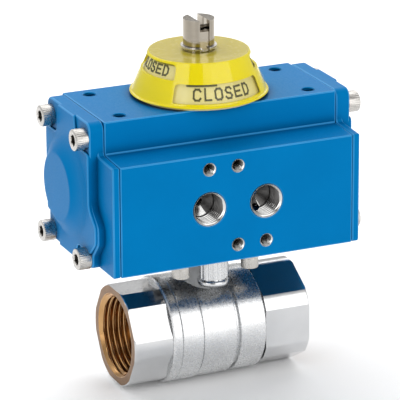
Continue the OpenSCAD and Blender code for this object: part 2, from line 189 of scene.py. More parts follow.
def cut(obj, *tools):
    return combine(obj, "DIFFERENCE", tools)


def add(obj, *tools):
    return combine(obj, "UNION", tools)


def keep(obj, *tools):
    return combine(obj, "INTERSECT", tools)


def merge(objs):
    """Several separate solids as one object."""
    bm = bmesh.new()
    for obj in objs:
        bm.from_mesh(obj.data)
        bpy.data.objects.remove(obj)
    return solid(bm)


def mirrored(obj, x):
    """Turns a solid into its mirror image about the plane at x."""
    to_plane, back = Matrix.Translation((-x, 0, 0)), Matrix.Translation((x, 0, 0))
    obj.data.transform(back @ Matrix.Scale(-1, 4, (1, 0, 0)) @ to_plane)
    obj.data.flip_normals()
    return obj


def settle(obj, name, body, material, replaced=(), sharp=32):
    """Turns a working solid into a finished piece riding on a body."""
    bm = bmesh.new()
    bm.from_mesh(obj.data)
    bmesh.ops.remove_doubles(bm, verts=bm.verts, dist=1e-4)
    for edge in bm.edges:
        edge.smooth = len(edge.link_faces) == 2 and edge.calc_face_angle(0) < math.radians(sharp)
    for face in bm.faces:
        face.smooth = True
    bm.to_mesh(obj.data)
    bm.free()
    obj.data.transform(Matrix.Scale(MM, 4))
    weighted = obj.modifiers.new("normals", "WEIGHTED_NORMAL")
    weighted.keep_sharp = True
    bake_modifiers(obj)
    obj.name = name
    obj.data.name = name
    obj.data.materials.clear()
    for one in material if isinstance(material, list) else [material]:
        obj.data.materials.append(one)
    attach(obj, body)
    if replaced:
        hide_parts(*replaced)
    return obj


def refined(node, width, segments=2):
    """A working copy of a CAD node with its flat faces joined and its edges rounded."""
    bm = bmesh.new()
    bm.from_mesh(frame["nodes"][node].data)
    bmesh.ops.transform(bm, matrix=Matrix.Scale(1 / MM, 4), verts=bm.verts)
    bmesh.ops.remove_doubles(bm, verts=bm.verts, dist=1e-3)
    bmesh.ops.dissolve_limit(bm, angle_limit=math.radians(0.4), verts=bm.verts, edges=bm.edges)
    obj = solid(bm)
    if width:
        soften(obj, width, segments, 32)
    return obj


def rounded(points, radii, steps=6):
    """Closed outline with each corner replaced by an arc of its radius."""
    out = []
    for k, corner in enumerate(points):
        radius = radii[k] if isinstance(radii, list) else radii
        here = Vector(corner)
        back = (Vector(points[k - 1]) - here).normalized()
        ahead = (Vector(points[(k + 1) % len(points)]) - here).normalized()
        half = back.angle(ahead) / 2
        if radius <= 0 or abs(half - math.pi / 2) < 1e-3:
            out.append(tuple(here))
            continue
        centre = here + (back + ahead).normalized() * radius / math.sin(half)
        start = here + back * radius / math.tan(half) - centre
        stop = here + ahead * radius / math.tan(half) - centre
        turn = start.angle_signed(stop)
        for i in range(steps + 1):
            a = -turn * i / steps
            spun = Matrix.Rotation(a, 2) @ start
            out.append(tuple(centre + spun))
    return out


def hexagon(apothem, spin):
    """Outline of a hexagon with a corner at the spin angle, in degrees."""
    corner = apothem / math.cos(math.radians(30))
    angles = [math.radians(60 * k + spin) for k in range(6)]
    return [(corner * math.cos(a), corner * math.sin(a)) for a in angles]


def threaded_cup(minor, major, pitch, depth, wall, mouth, floor, matrix, turn_steps=10, segments=64):
    """Threaded hole lining: local +Z runs into the hole, the mouth is at zero."""
    bm = bmesh.new()
    count = int(depth / pitch * turn_steps)
    rings = []
    for i in range(count + 1):
        z = depth * i / count
        lead_in = mouth - z
        ring = []
        for k in range(segments):
            phase = (z / pitch - k / segments) % 1
            crest = min(max(abs(2 * phase - 1) * 1.3 - 0.15, 0), 1)
            fade = min(max((depth - z) / pitch, 0), 1)
            radius = max(minor + (major - minor) * crest * fade, lead_in)
            a = 2 * math.pi * k / segments
            ring.append(bm.verts.new(matrix @ Vector((radius * math.cos(a), radius * math.sin(a), z))))
        rings.append(ring)
    drop = (minor - floor) * 0.58
    end = depth + drop
    if floor > 0.1:
        rings.append(ring_of(bm, floor, end, segments, matrix))
        rings.append(ring_of(bm, floor, end + 1.0, segments, matrix))
        rings.append(ring_of(bm, wall, end + 1.0, segments, matrix))
    else:
        rings.append(ring_of(bm, 0.4, end, segments, matrix))
        rings.append(ring_of(bm, 0, end, segments, matrix))
        rings.append(ring_of(bm, 0, end + 0.5, segments, matrix))
        rings.append(ring_of(bm, wall, end + 0.5, segments, matrix))
    rings.append(ring_of(bm, wall, 0, segments, matrix))
    skin(bm, rings, closed=True)
    return solid(bm)


# ---------------------------------------------------------------- materials


def surface(name, low, high, rough, metallic=0.0, scale=60, bump=0.02, bump_scale=900, stretch=(1, 1, 1),
            coat=0.0, coat_rough=0.05, coat_ior=1.5, specular=0.5, glint=(1, 1, 1), sheen=0.0, alpha=1.0,
            edge_tone=None, nook_shade=None):
    """Procedural finish: broad colour drift, fine roughness and bump, maybe an edge colour and painted nook
    shade.
    """
    material = bpy.data.materials.new(name)
    material.use_nodes = True
    nodes, links = material.node_tree.nodes, material.node_tree.links
    shader = nodes["Principled BSDF"]
    shader.inputs["Metallic"].default_value = metallic
    shader.inputs["Specular IOR Level"].default_value = specular
    shader.inputs["Coat Weight"].default_value = coat
    shader.inputs["Coat Roughness"].default_value = coat_rough
    shader.inputs["Coat IOR"].default_value = coat_ior
    shader.inputs["Sheen Weight"].default_value = sheen
    shader.inputs["Specular Tint"].default_value = (*glint, 1)
    shader.inputs["Alpha"].default_value = alpha
    coords = nodes.new("ShaderNodeTexCoord")
    mapping = nodes.new("ShaderNodeMapping")
    mapping.inputs["Scale"].default_value = stretch
    links.new(coords.outputs["Object"], mapping.inputs["Vector"])

    def noise(size, detail):
        node = nodes.new("ShaderNodeTexNoise")
        node.inputs["Scale"].default_value = size
        node.inputs["Detail"].default_value = detail
        links.new(mapping.outputs["Vector"], node.inputs["Vector"])
        return node

    def ramp(source, start, stop, first=0.0, last=1.0):
        node = nodes.new("ShaderNodeMapRange")
        node.inputs["From Min"].default_value = start
        node.inputs["From Max"].default_value = stop
        node.inputs["To Min"].default_value = first
        node.inputs["To Max"].default_value = last
        links.new(source, node.inputs["Value"])
        return node.outputs["Result"]

    def mix(factor, first, second):
        node = nodes.new("ShaderNodeMix")
        node.data_type = "RGBA"
        links.new(factor, node.inputs["Factor"])
        for label, tone in (("A", first), ("B", second)):
            if isinstance(tone, tuple):
                node.inputs[label].default_value = (*tone, 1)
            else:
                links.new(tone, node.inputs[label])
        return node.outputs["Result"]

    broad, fine = noise(scale, 5), noise(bump_scale, 3)
    colour = mix(ramp(broad.outputs["Fac"], 0.3, 0.7), low, high)
    # a set colour on sharp edges, found by pointiness
    if edge_tone:
        shape = nodes.new("ShaderNodeNewGeometry")
        colour = mix(ramp(shape.outputs["Pointiness"], 0.515, 0.56), colour, edge_tone)
    # painted shade: ambient occlusion darkens the colour towards the nook shade in recesses and corners
    if nook_shade:
        nook_occlusion = nodes.new("ShaderNodeAmbientOcclusion")
        nook_occlusion.samples = 12
        nook_occlusion.inputs["Distance"].default_value = 6 * MM
        colour = mix(ramp(nook_occlusion.outputs["AO"], 0.3, 0.9), nook_shade, colour)
    links.new(colour, shader.inputs["Base Color"])
    links.new(ramp(fine.outputs["Fac"], 0.3, 0.7, *rough), shader.inputs["Roughness"])
    relief = nodes.new("ShaderNodeBump")
    relief.inputs["Strength"].default_value = 0.5
    relief.inputs["Distance"].default_value = bump * MM
    links.new(fine.outputs["Fac"], relief.inputs["Height"])
    links.new(relief.outputs["Normal"], shader.inputs["Normal"])
    return material


# blue paint, with painted shade darkening it in nooks and recesses
blue_coat_nook_shade = surface(
    "blue_coat_nook_shade", (0.0, 0.16, 0.415), (0.0, 0.173, 0.445), (0.34, 0.44), scale=35, bump=0.012,
    bump_scale=1400, specular=0.1, glint=(0.05, 0.45, 1.0), nook_shade=(0.0, 0.03, 0.1))
# painted highlight: a lighter, glossier copy of the blue for the rounded edges
blue_edge_highlight = surface(
    "blue_edge_highlight", (0.015, 0.22, 0.5), (0.03, 0.26, 0.58), (0.3, 0.4), scale=35, bump=0.012,
    bump_scale=1400, specular=0.5, glint=(0.3, 0.7, 1.0))
# painted shade: a dark copy of the blue for the flat underside of the body
blue_underside_shade = surface(
    "blue_underside_shade", (0.0, 0.05, 0.13), (0.0, 0.06, 0.16), (0.4, 0.5), scale=35, bump=0.012,
    bump_scale=1400, specular=0.05)
# painted shade: a darker copy of the bare alloy for the shaded parts of the threaded holes
shaded_alloy = surface(
    "shaded_alloy", (0.09, 0.088, 0.085), (0.26, 0.255, 0.25), (0.3, 0.45), 1.0, 200, 0.006, 1200)
bare_alloy = surface(
    "bare_alloy", (0.6, 0.6, 0.59), (0.74, 0.74, 0.72), (0.14, 0.26), 1.0, 200, 0.006, 1200)
cast_chrome = surface(
    "cast_chrome", (0.66, 0.665, 0.67), (0.75, 0.755, 0.76), (0.22, 0.34), 1.0, 90, 0.06, 1000)
# painted shade: a dark copy of the chrome for the neck and the faces under the plate
chrome_shade = surface(
    "chrome_shade", (0.2, 0.205, 0.21), (0.3, 0.305, 0.31), (0.3, 0.42), 1.0, 90, 0.05, 1100)
turned_chrome = surface(
    "turned_chrome", (0.61, 0.615, 0.62), (0.7, 0.7, 0.705), (0.12, 0.2), 1.0, 60, 0.004, 1500)
brass = surface(
    "brass", (0.48, 0.27, 0.11), (0.58, 0.345, 0.155), (0.16, 0.24), 1.0, 160, 0.003, 900,
    stretch=(3, 1, 1))
brass_face = surface(
    "brass_face", (0.2, 0.115, 0.06), (0.26, 0.155, 0.085), (0.3, 0.42), 1.0, 120, 0.006, 700)
stainless = surface(
    "stainless", (0.25, 0.235, 0.215), (0.4, 0.38, 0.355), (0.2, 0.36), 1.0, 220, 0.01, 1600,
    stretch=(1, 1, 3), edge_tone=(0.66, 0.64, 0.61))
nickel_steel = surface(
    "nickel_steel", (0.2, 0.17, 0.13), (0.3, 0.26, 0.205), (0.05, 0.11), 1.0, 150, 0.008, 1300,
    stretch=(1, 1, 4), edge_tone=(0.42, 0.38, 0.32))
yellow_plastic = surface(
    "yellow_plastic", (0.76, 0.63, 0.0), (0.8, 0.67, 0.001), (0.22, 0.3), scale=40, bump=0.01,
    bump_scale=500, specular=0.02, coat=0.75, coat_rough=0.04, coat_ior=1.6, sheen=0.05)
# painted shade: a darker copy of the yellow for the flat top of the mask
yellow_top_shade = surface(
    "yellow_top_shade", (0.52, 0.42, 0.04), (0.56, 0.455, 0.05), (0.22, 0.3), scale=40, bump=0.01,
    bump_scale=500, specular=0.02, coat=1.0, coat_rough=0.05, coat_ior=1.8)
cream_plastic = surface(
    "cream_plastic", (0.72, 0.64, 0.27), (0.78, 0.7, 0.33), (0.3, 0.4), scale=50, bump=0.01,
    bump_scale=700, specular=0.2, coat=0.4, coat_rough=0.05)
clear_plastic = surface(
    "clear_plastic", (0.9, 0.8, 0.05), (1.0, 0.9, 0.1), (0.03, 0.06), scale=30, bump=0.004,
    bump_scale=260, coat=1.0, coat_rough=0.02, alpha=0.04)
ink = surface(
    "ink", (0.015, 0.016, 0.02), (0.035, 0.036, 0.04), (0.35, 0.5), scale=300, bump=0.004,
    bump_scale=900)
rubber = surface(
    "rubber", (0.012, 0.012, 0.013), (0.028, 0.028, 0.03), (0.55, 0.75), scale=200, bump=0.02,
    bump_scale=1500)
slide_plastic = surface(
    "slide_plastic", (0.76, 0.76, 0.72), (0.86, 0.86, 0.83), (0.35, 0.5), scale=120, bump=0.01,
    bump_scale=800)

# ---------------------------------------------------------------- actuator body

UPPER_HALF = 21.4
HOLE_ROW = 16


def body_outline():
    """Cross section across the cylinder: pad in front, ledge, narrow upper part."""
    ledge = port_z + 22.5
    return [(body_low.y, body_low.z), (body_high.y, body_low.z), (body_high.y, ledge - 0.3),
            (UPPER_HALF, ledge), (UPPER_HALF, top_z), (-UPPER_HALF, top_z), (-UPPER_HALF, ledge),
            (body_low.y, ledge - 0.8)]


def hole_tool(radius, mouth, depth, matrix, segments=64):
    """Countersunk cutter starting a little outside the face."""
    lead = mouth - radius
    profile = [(0, -1), (mouth, -1), (mouth, 0), (radius, lead), (radius, depth), (0, depth)]
    return lathe(profile, matrix, segments)


pad_holes = []
for name in ("upper_port_holes", "lower_port_holes"):
    centre, half = mount_place(name), mounts[name]["dims"]["spacing_x_mm"] / 2
    pad_holes += [turn_to("+Y", centre + Vector((side * half, 0, 0))) for side in (-1, 1)]
top_holes = [turn_to("-Z", mount_place("accessory_holes") + Vector((sx * 40, sy * 15, 0)))
             for sx in (-1, 1) for sy in (-1, 1)]
air_ports = [turn_to("+Y", mount_place(name)) for name in ("left_air_port", "right_air_port")]
link_place = Matrix.Translation(mount_place("right_air_port") + Vector((-1.2, 7.6, -4.6)))
link_place = link_place @ Vector((0.36, 0.86, -0.35)).to_track_quat("Z", "Y").to_matrix().to_4x4()
bore_z = port_z + 5
BORE_R = 22.5
CUP, PORT_CUP = 2.9, 7.0
PORT_THREAD = (5.725, 6.58, 1.337)
SCREW_THREAD = (2.1, 2.5, 0.8)

# cylinder, pinion bores, air ports with their inner passages, and blind screw holes
body = soften(prism(body_outline(), body_low.x, body_high.x, turn_to("+X", (0, 0, 0))), 0.55, 3)
cut(body, lathe([(0, body_low.x - 5), (BORE_R, body_low.x - 5), (BORE_R, body_high.x + 5),
                 (0, body_high.x + 5)], turn_to("+X", (0, 0, bore_z)), 128))
cut(body, lathe([(0, body_low.z - 5), (12.2, body_low.z - 5), (12.2, bore_z), (10, bore_z), (10, top_z + 5),
                 (0, top_z + 5)], turn_to("+Z", (stem_x, 0, 0)), 96))
cut(body, *[hole_tool(PORT_CUP - 0.3, PORT_CUP + 0.25, 12.6, place) for place in air_ports])
cut(body, lathe([(0, 12), (2.25, 12), (2.25, 16), (0, 16)], air_ports[0], 48))
cut(body, lathe([(0, -1), (1.8, -1), (1.8, 12), (0, 12)], link_place, 32))
cut(body, *[hole_tool(CUP - 0.25, CUP, 10.3, place, 40) for place in pad_holes])
cut(body, *[hole_tool(CUP - 0.25, CUP, 9.3, place, 40) for place in top_holes])
settle(body, "body_casting", "frame", [blue_coat_nook_shade, blue_underside_shade, blue_edge_highlight],
       ["actuator_body"])
for face in body.data.polygons:
    off_axis = math.hypot(face.center.y, face.center.z - bore_z * MM)
    # painted shade on the body's flat underside
    if face.normal.z < -0.9 and face.center.z < (body_low.z + 0.3) * MM:
        face.material_index = 1
    # painted highlight: the lighter edge blue on the rounded body edges
    elif max(abs(v) for v in face.normal) < 0.995 and off_axis > 23 * MM and abs(face.normal.x) < 0.9:
        face.material_index = 2


def shade_threads(obj, sill):
    """Painted shade: darker alloy on the threaded walls and floors of the front holes; the low side, below
    the sill, stays bright.
    """
    for face in obj.data.polygons:
        at = face.center / MM
        rows = (port_z - HOLE_ROW, port_z, port_z + HOLE_ROW)
        row = min(rows, key=lambda level: abs(level - at.z))
        if at.y > body_low.y + 0.8 and at.z > row - sill:
            face.material_index = 1


port_cups = [threaded_cup(*PORT_THREAD, 10, PORT_CUP - 0.32, 6.66, floor_r, place, 12, 96)
             for place, floor_r in zip(air_ports, (1.8, 0))]
passage = [(1.8, 11.5), (2.2, 11.5), (2.2, 14.3), (1.8, 14.3)]
add(port_cups[0], lathe(passage, air_ports[0], 96, closed=True))
cut(port_cups[1], lathe([(0, -3), (1.6, -3), (1.6, 7), (0, 7)], link_place, 32))
# bare alloy, and the darker alloy as painted shade, for the thread linings
thread_alloy_and_shade = [bare_alloy, shaded_alloy]
cups = settle(merge(port_cups), "air_port_threads", "frame", thread_alloy_and_shade, sharp=60)
shade_threads(cups, 3.4)
screw_cups = [threaded_cup(*SCREW_THREAD, 9, CUP - 0.27, 2.62, 0, place, 8, 40) for place in pad_holes]
cups = settle(merge(screw_cups), "screw_hole_threads", "frame", thread_alloy_and_shade, sharp=60)
shade_threads(cups, 1.1)
top_cups = [threaded_cup(*SCREW_THREAD, 8, CUP - 0.27, 2.62, 0, place, 8, 40) for place in top_holes]
settle(merge(top_cups), "top_hole_threads", "frame", [blue_coat_nook_shade], sharp=60)

# ---------------------------------------------------------------- end caps

# screw places on a cap as (y, z); the outer ones differ above and below
cap_screws = [(side * y, port_z + z) for side in (-1, 1) for y, z in ((17, 28.7), (18.2, -19))]
FLANGE, POCKET, FACE, CONE = 3.1, 6.2, 7.2, 11.5


def raised_outline():
    """Outline of the cap's raised face, with pockets round the screws and a swell over the air way."""
    low, high, side = body_low.z, top_z, UPPER_HALF
    shoulder = port_z + 23.8
    points = [(-9, low), (9, low), (9, port_z - 11), (side, port_z - 11), (side, shoulder), (10, shoulder),
              (8, high), (-8, high), (-10, shoulder), (-side, shoulder), (-side, port_z + 2),
              (-28, port_z - 4), (-28, port_z - 10.5), (-22.5, port_z - 16), (-9, port_z - 16)]
    radii = [0.8, 0.8, 3, 2, 2, 3, 0.8, 0.8, 3, 2, 5, 4, 4, 2, 2.5]
    return rounded(points, radii)


def corner_outline():
    """Outline of the thick part of the cap under the screw heads."""
    low, high, side = body_low.z, top_z, UPPER_HALF
    points = [(-23, low), (side, low), (side, high), (-side, high), (-side, port_z + 2),
              (-28.4, port_z - 4), (-28.4, port_z - 11), (-23, port_z - 17)]
    return rounded(points, [2.5, 3.5, 3.5, 3.5, 5, 4, 4, 3])


def end_cap():
    """The cap on the +X end."""
    joint = turn_to("+X", (body_high.x, 0, 0))
    plate = rounded(body_outline(), [1.2, 1.2, 0.6, 0.6, 3.5, 3.5, 1.5, 0.6])
    cap = soften(prism(plate, 0.12, FLANGE, joint), 0.7, 3, 40)
    block = soften(prism(corner_outline(), 0.5, POCKET, joint), 0.6, 3, 40)
    face = soften(prism(raised_outline(), 0.5, FACE, joint), 0.5, 3, 40)
    centre = turn_to("+X", (body_high.x, 0, bore_z))
    boss = lathe([(0, 1), (20.5, 1), (20.5, FACE), *rim_points(), (0, CONE)], centre, 128)
    add(cap, block, face, boss)
    cut(cap, lathe([(0, -1), (18, -1), (18, 4.1), (12, 8.1), (0, 8.1)], centre, 96))
    for y, z in cap_screws:
        cut(cap, lathe([(0, -1), (2.75, -1), (2.75, 9), (0, 9)], turn_to("+X", (body_high.x, y, z)), 32))
    return cap


def rim_points():
    """Cone flank of the cap boss, rounded into its flat face."""
    flank = Vector((13.5 - 20.4, CONE - FACE)).normalized()
    corner = Vector((13.5, CONE))
    start, stop = corner - flank * 0.6, corner - Vector((0.6, 0))
    blend = [start.lerp(corner, t / 4).lerp(corner.lerp(stop, t / 4), t / 4) for t in range(5)]
    return [(p.x, p.y) for p in blend]


def screw_outline(head_r, head_h, shank_r, length, rim=0.35):
    """Profile of a socket head screw: local zero is under the head, the head goes up."""
    return [(0, -length), (shank_r - 0.4, -length), (shank_r, -length + 0.4), (shank_r, 0),
            (head_r - 0.1, 0), (head_r, 0.15), (head_r, head_h - rim),
            (head_r - rim * 0.3, head_h - rim * 0.3), (head_r - rim, head_h), (0, head_h)]


def socket_screw(head_r, head_h, shank_r, length, key, matrix):
    """Socket head screw with a knurled head, a hexagon recess and a countersunk mouth."""
    screw = lathe(screw_outline(head_r, head_h, shank_r, length), matrix, 72)
    back = matrix.inverted()
    for vert in screw.data.vertices:
        at = back @ vert.co
        notch = round(math.atan2(at.y, at.x) / math.radians(5)) % 2
        if notch and at.z > 0.1 and at.xy.length > head_r - 0.12:
            vert.co = matrix @ Vector((at.x * 0.975, at.y * 0.975, at.z))
    cut(screw, prism(hexagon(key / 2, 30), head_h * 0.45, head_h + 1, matrix))
    mouth, low, high = key / math.sqrt(3), head_h - 0.35, head_h + 0.1
    cut(screw, lathe([(0, low), (mouth - 0.3, low), (mouth + 0.15, high), (0, high)], matrix, 48))
    return screw


mid_x = (body_low.x + body_high.x) / 2
right_cap = end_cap()
left_cap = mirrored(end_cap(), mid_x)
settle(right_cap, "right_cap_casting", "frame", [blue_coat_nook_shade, blue_edge_highlight], ["right_end_cap"])
settle(left_cap, "left_cap_casting", "frame", [blue_coat_nook_shade, blue_edge_highlight], ["left_end_cap"])
for cap in (right_cap, left_cap):
    for face in cap.data.polygons:
        off_axis = math.hypot(face.center.y, face.center.z - bore_z * MM)
        # painted highlight: the lighter edge blue on the sloping cap edge faces
        if 0.15 < abs(face.normal.x) < 0.98 and off_axis > 21 * MM:
            face.material_index = 1
for side, name in ((1, "right"), (-1, "left")):
    places = [turn_to("+X", (body_high.x + POCKET, y, z)) for y, z in cap_screws]
    group = merge([socket_screw(4.25, 5, 2.5, 12.4, 4, place) for place in places])
    if side < 0:
        mirrored(group, mid_x)
    settle(group, name + "_cap_bolts", "frame", stainless, [name + "_cap_screws"])

# ---------------------------------------------------------------- shaft and indicator

settle(refined("pinion", 0.18), "pinion_shaft", "rotor", nickel_steel, ["pinion"])
settle(refined("retaining_ring", 0.15), "shaft_clip", "rotor", stainless, ["retaining_ring"])

cone_low_z, cone_high_z = node_box("indicator_cover")[0].z - 0.95, node_box("indicator_cover")[1].z
cone_base_r, CONE_TOP_R = node_box("indicator_mask")[1].y, 20.5
slope = (cone_base_r - CONE_TOP_R) / (cone_high_z - cone_low_z)


def cone_r(z, inset=0.0):
    """Radius at a height, an inset inside the outer cone surface."""
    return cone_base_r - (z - cone_low_z) * slope - inset


def on_cone(z, inset, lower=0.0):
    """Profile point at an inset from the cone surface, set lower for a chamfer."""
    return cone_r(z, inset), z - lower


upright = turn_to("+Z", (stem_x, 0, 0))


def window(half_angle, low, high, inset, spin):
    """Cutter for a window in the cone, centred on -Y and then turned about the axis."""
    wide = math.sin(math.radians(half_angle))
    bottom, top = cone_r(low, inset) * wide, cone_r(high, inset) * wide
    outline = rounded([(-bottom, low), (bottom, low), (top, high), (-top, high)], [0.6, 0.6, 2.2, 2.2])
    flip = Matrix(((1, 0, 0), (0, 0, -1), (0, 1, 0))).to_4x4()
    place = upright @ Matrix.Rotation(math.radians(spin), 4, "Z") @ flip
    return prism(outline, 8, 40, place)


mask_top = cone_high_z - 1
mask_profile = [(6.3, mask_top), on_cone(mask_top, 1.3), on_cone(mask_top, 0.95, 0.3),
                on_cone(cone_low_z + 0.8, 0.9), on_cone(cone_low_z + 0.7, 0.45),
                on_cone(cone_low_z, 0.4, -0.25), on_cone(cone_low_z, 0.6), on_cone(cone_low_z, 2.1),
                on_cone(cone_low_z + 1, 2.0), on_cone(mask_top - 1, 2.0), (6.3, mask_top - 1)]
mask = lathe(mask_profile, upright, 160, closed=True)
for spin in (0, 180):
    cut(mask, window(45.5, cone_low_z + 1.4, cone_low_z + 8.6, 1, spin - 2))
for spin in (90, 270):
    cut(mask, window(41, cone_low_z + 9.4, cone_low_z + 15.2, 1, spin))
settle(mask, "mask_cone", "rotor", [yellow_plastic, yellow_top_shade], ["indicator_mask"])
# painted shade: the darker yellow on the mask's flat top
for face in mask.data.polygons:
    if face.normal.z > 0.9 and face.center.z > (mask_top - 0.2) * MM:
        face.material_index = 1

legend_top = node_box("indicator_legend")[1].z
legend_profile = [(9.2, legend_top), on_cone(legend_top, 2.8), on_cone(legend_top, 2.55, 0.3),
                  on_cone(top_z + 0.3, 2.5), on_cone(top_z + 0.3, 2.7, 0.28), (20.2, top_z + 0.02),
                  (20.2, top_z + 1), on_cone(top_z + 1, 3.5), on_cone(legend_top - 1, 3.5),
                  (9.2, legend_top - 1)]
settle(lathe(legend_profile, upright, 160, closed=True), "legend_cone", "frame", cream_plastic,
       ["indicator_legend"])

cover_low = cone_low_z + 0.97
cover_profile = [(6.35, cone_high_z), on_cone(cone_high_z, 0.9), on_cone(cone_high_z, 0.45, 0.12),
                 on_cone(cone_high_z, 0.1, 0.45), on_cone(cover_low, 0.02), on_cone(cover_low, 0.82),
                 on_cone(cone_high_z - 0.9, 0.85), (6.35, cone_high_z - 0.9)]
settle(lathe(cover_profile, upright, 160, closed=True), "cover_cone", "rotor", clear_plastic,
       ["indicator_cover"])

# strokes of the plain letters, as (x0, y0, x1, y1) in a box 0.7 wide and 1 high
LETTERS = {
    "C": [(0.62, 0.78, 0.5, 0.92), (0.5, 0.92, 0.2, 0.92), (0.2, 0.92, 0.06, 0.76), (0.06, 0.76, 0.06, 0.24),
          (0.06, 0.24, 0.2, 0.08), (0.2, 0.08, 0.5, 0.08), (0.5, 0.08, 0.62, 0.22)],
    "L": [(0.1, 0.95, 0.1, 0.08), (0.1, 0.08, 0.58, 0.08)],
    "O": [(0.06, 0.24, 0.06, 0.76), (0.06, 0.76, 0.2, 0.92), (0.2, 0.92, 0.5, 0.92), (0.5, 0.92, 0.64, 0.76),
          (0.64, 0.76, 0.64, 0.24), (0.64, 0.24, 0.5, 0.08), (0.5, 0.08, 0.2, 0.08), (0.2, 0.08, 0.06, 0.24)],
    "S": [(0.6, 0.8, 0.48, 0.92), (0.48, 0.92, 0.2, 0.92), (0.2, 0.92, 0.08, 0.72), (0.08, 0.72, 0.2, 0.54),
          (0.2, 0.54, 0.5, 0.46), (0.5, 0.46, 0.62, 0.28), (0.62, 0.28, 0.5, 0.08), (0.5, 0.08, 0.2, 0.08),
          (0.2, 0.08, 0.06, 0.22)],
    "D": [(0.08, 0.05, 0.08, 0.95), (0.08, 0.92, 0.42, 0.92), (0.42, 0.92, 0.62, 0.7), (0.62, 0.7, 0.62, 0.3),
          (0.62, 0.3, 0.42, 0.08), (0.42, 0.08, 0.08, 0.08)],
    "P": [(0.05, 0.05, 0.05, 0.9), (0.05, 0.9, 0.65, 0.9), (0.65, 0.9, 0.65, 0.45), (0.65, 0.45, 0.05, 0.45)],
    "E": [(0.05, 0.1, 0.05, 0.9), (0.05, 0.9, 0.65, 0.9), (0.05, 0.5, 0.55, 0.5), (0.05, 0.1, 0.65, 0.1)],
    "N": [(0.05, 0.05, 0.05, 0.95), (0.05, 0.95, 0.65, 0.05), (0.65, 0.05, 0.65, 0.95)],
}


def stroke_on_cone(bm, a, b, weight, spin, radius, inset):
    """Thin bar between two points (arc length, height), wrapped round the cone at an inset."""
    side = Vector((a.y - b.y, b.x - a.x)).normalized() * weight / 2
    rings = []
    for t in range(5):
        p = a.lerp(b, t / 4)
        ring = []
        for offset, sunk in ((side, 0), (-side, 0), (-side, 0.2), (side, 0.2)):
            q = p + offset
            angle = math.radians(spin) + q.x / radius
            r = cone_r(q.y, inset + sunk)
            ring.append(bm.verts.new((stem_x + r * math.sin(angle), -r * math.cos(angle), q.y)))
        rings.append(ring)
    skin(bm, rings)
    bm.faces.new(rings[0])
    bm.faces.new(rings[-1][::-1])


def word_on_cone(bm, word, spin, z_low, height):
    """Raised letters wrapped round the legend cone."""
    advance, weight, inset = height * 0.92, height * 0.16, 2.44
    radius = cone_r(z_low + height / 2, inset)
    start = -advance * (len(word) - 0.3) / 2
    for index, letter in enumerate(word):
        for x0, y0, x1, y1 in LETTERS[letter]:
            a = Vector((start + index * advance + x0 * height, z_low + y0 * height))
            b = Vector((start + index * advance + x1 * height, z_low + y1 * height))
            end = (b - a).normalized() * weight / 2
            stroke_on_cone(bm, a - end, b + end, weight, spin, radius, inset)


letters = bmesh.new()
for spin in (0, 180):
    word_on_cone(letters, "CLOSED", spin, cone_low_z + 2.3, 4.6)
    word_on_cone(letters, "OPEN", spin, cone_low_z + 9.9, 4.0)
for spin in (90, 270):
    word_on_cone(letters, "OPEN", spin, cone_low_z + 2.2, 4.6)
    word_on_cone(letters, "CLOSED", spin, cone_low_z + 10.2, 4.0)
settle(solid(letters), "legend_words", "frame", ink)

# painted shadow: dark ink strips in the gap over the front and back windows
window_shadow_strips = bmesh.new()
shadow_z = cone_low_z + 8.05
for spin in (0, 180):
    stroke_on_cone(window_shadow_strips, Vector((-15.5, shadow_z)), Vector((-2.5, shadow_z)), 1.0, spin, cone_r(shadow_z), 1.95)
settle(solid(window_shadow_strips), "window_painted_shadow", "rotor", ink)

# ---------------------------------------------------------------- ball valve

PIPE_THREAD, PIPE_DEPTH = (15.1455, 16.62, 2.309), 17.0
LINING, FLOW_R, NECK_R = 17.0, 12.5, 11.3
BOSS_R, BOSS_Y = 5.4, -12.6
BOLT_OFFSET = 14.85


def port_end(start, end, apothem, spin, corner_r, face_r, side):
    """Hexagon along +X with its corners turned round and a chamfer at the face on its side."""
    face, far = (start, end) if side < 0 else (end, start)
    turned = [(0, face), (face_r, face), (corner_r, face - 0.5 * side), (corner_r, far), (0, far)]
    return keep(prism(hexagon(apothem, spin), start, end, flow), lathe(turned, flow, 160))


flow = turn_to("+X", (0, 0, 0))
x = stem_x
adapter = soften(port_end(inlet_x, x - 20.6, 19.3, 0, 20.4, 20.05, -1), 0.25, 3, 20)
collar = lathe([(0, x - 25), (18.4, x - 25), (18.4, x - 20.6), (20.8, x - 20.6), (21.35, x - 20.1),
                (21.45, x - 19.4), (21.45, x - 17.0), (21.2, x - 16.72), (18.3, x - 16.72), (18.3, x - 14.6),
                (0, x - 14.6)], flow, 160)
add(adapter, collar)
cut(adapter, lathe([(0, inlet_x - 1), (LINING, inlet_x - 1), (LINING, inlet_x + 18.3),
                    (FLOW_R, inlet_x + 18.3), (FLOW_R, x), (0, x)], flow, 128))
settle(adapter, "inlet_adapter", "frame", [turned_chrome, brass_face, cast_chrome],
       ["valve_adapter"])
for face in adapter.data.polygons:
    if face.normal.x < -0.9 and face.center.x < (inlet_x + 0.3) * MM:
        face.material_index = 1
    elif face.center.x > (x - 20.7) * MM:
        face.material_index = 2

